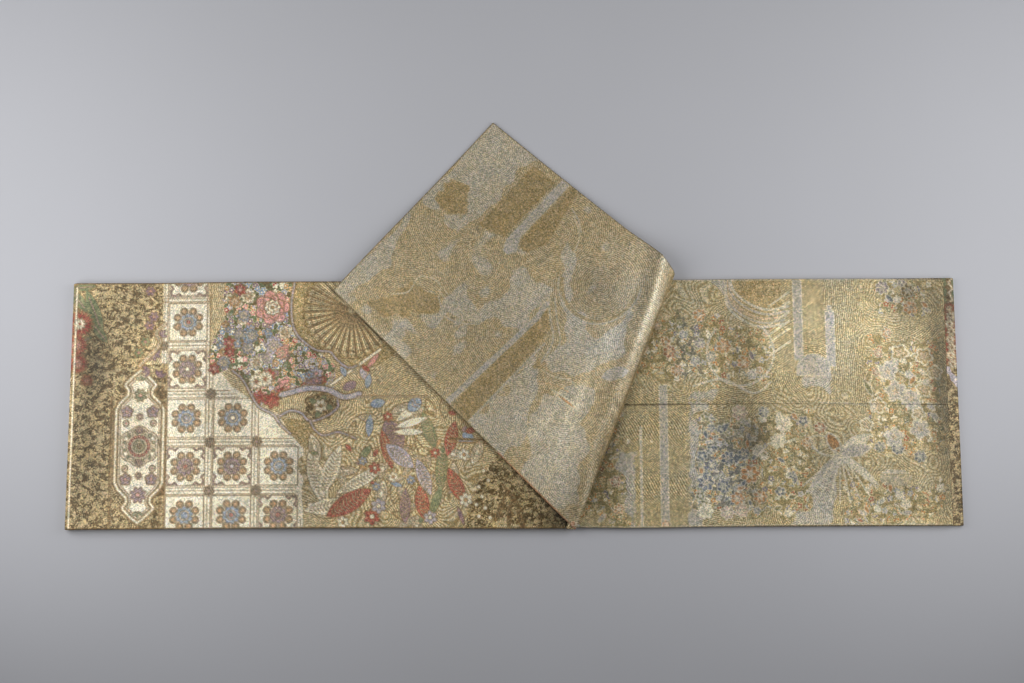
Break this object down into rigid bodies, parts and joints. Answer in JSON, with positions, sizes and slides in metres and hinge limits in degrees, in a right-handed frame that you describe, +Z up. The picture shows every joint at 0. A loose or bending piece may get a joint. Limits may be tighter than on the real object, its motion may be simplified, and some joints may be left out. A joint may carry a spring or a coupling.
{
  "type": "folded obi sash",
  "caption": "Wide gold brocade kimono sash, book-folded flat, with one end turned over on a soft slanting fold so that its paler back shows.",
  "frame": {"origin": "middle of the folded stack's flat underside, on the surface it lies on", "axes": "+X along the sash towards the tail end, +Y across it towards the turned-over corner, +Z up"},
  "size_m": [1.1148, 0.5219, 0.028],
  "materials": {
    "face_brocade": "figured gold brocade with coloured silk, soft metallic sheen",
    "back_brocade": "gold and silver brocade, soft metallic sheen",
    "folded_layers": "edges of the folded brocade, dull gold brown"
  },
  "bodies": {
    "root": {"top_face_cloth": "face_brocade", "top_back_cloth": "back_brocade", "flap_back_cloth": "back_brocade", "flap_face_cloth": "face_brocade", "under_back_cloth": "back_brocade", "under_face_cloth": "face_brocade", "mid_fold_face_cloth": "face_brocade", "lower_folds": "folded_layers"}
  },
  "joints": []
}
